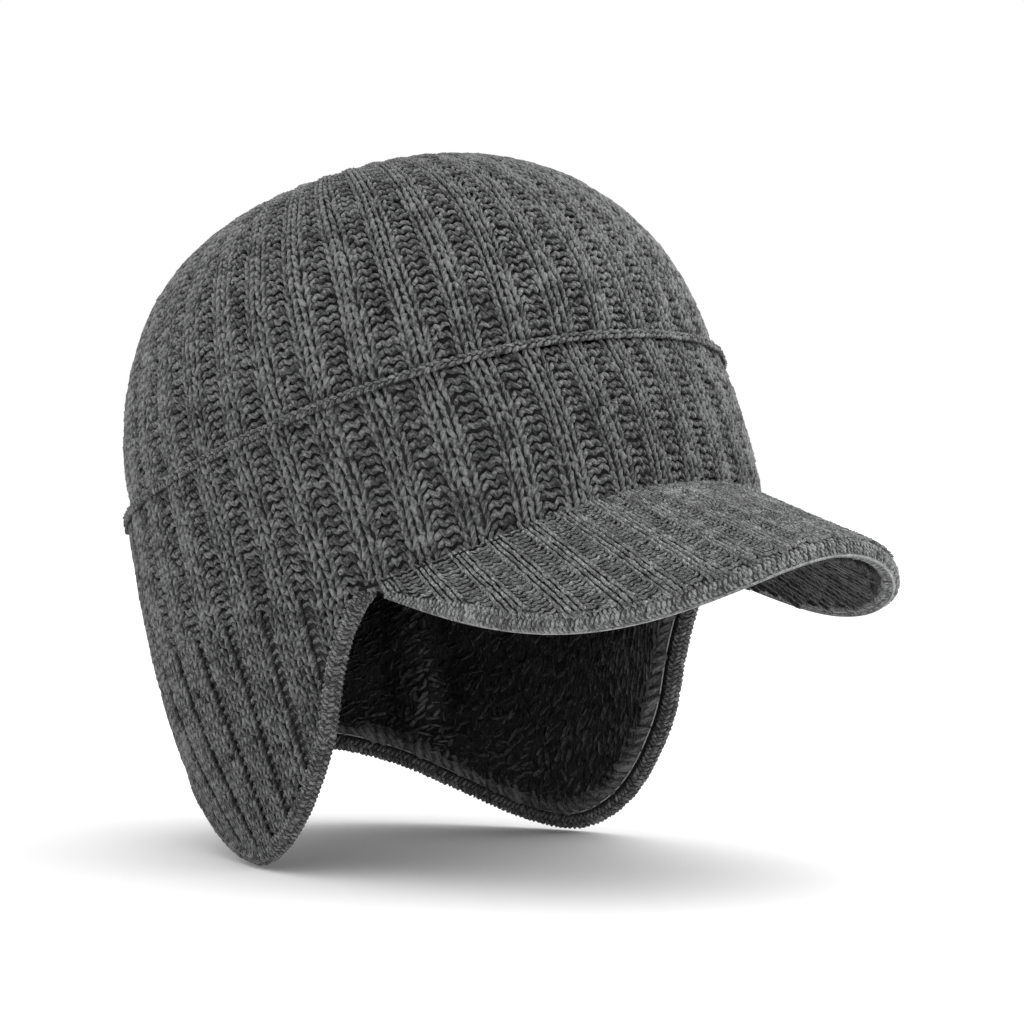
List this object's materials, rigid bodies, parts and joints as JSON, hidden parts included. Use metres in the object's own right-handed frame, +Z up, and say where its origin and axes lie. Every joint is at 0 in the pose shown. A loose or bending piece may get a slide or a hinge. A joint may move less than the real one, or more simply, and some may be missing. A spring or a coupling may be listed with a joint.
{
  "type": "peaked knit cap with ear flaps",
  "caption": "Ribbed knit winter cap with a stiff arched peak, a deep turned-up band, ear flaps joined behind the neck and a fleece lining.",
  "frame": {"origin": "the middle of the head opening at the height of the band's lower edge, on the cap's middle plane, where the head holds the cap", "axes": "+Z up, the wearer looks along -Y, so the peak points to -Y and +X is the wearer's left; the cap leans back by 18.7 degrees, as it is shown"},
  "size_m": [0.187, 0.3084, 0.2405],
  "materials": {
    "rib_knit": "charcoal heather rib knit, matt, slightly fuzzy",
    "rib_knit_light": "lighter charcoal heather knit of a finer gauge, matt, slightly fuzzy",
    "fleece": "black curly fleece, matt, soft pile"
  },
  "bodies": {
    "root": {"crown": "rib_knit", "band": "rib_knit", "band_ridge": "rib_knit_light", "ear_flaps": "rib_knit", "flap_hem": "rib_knit", "peak": "rib_knit_light", "peak_edge": "rib_knit_light", "lining": "fleece"}
  },
  "joints": []
}
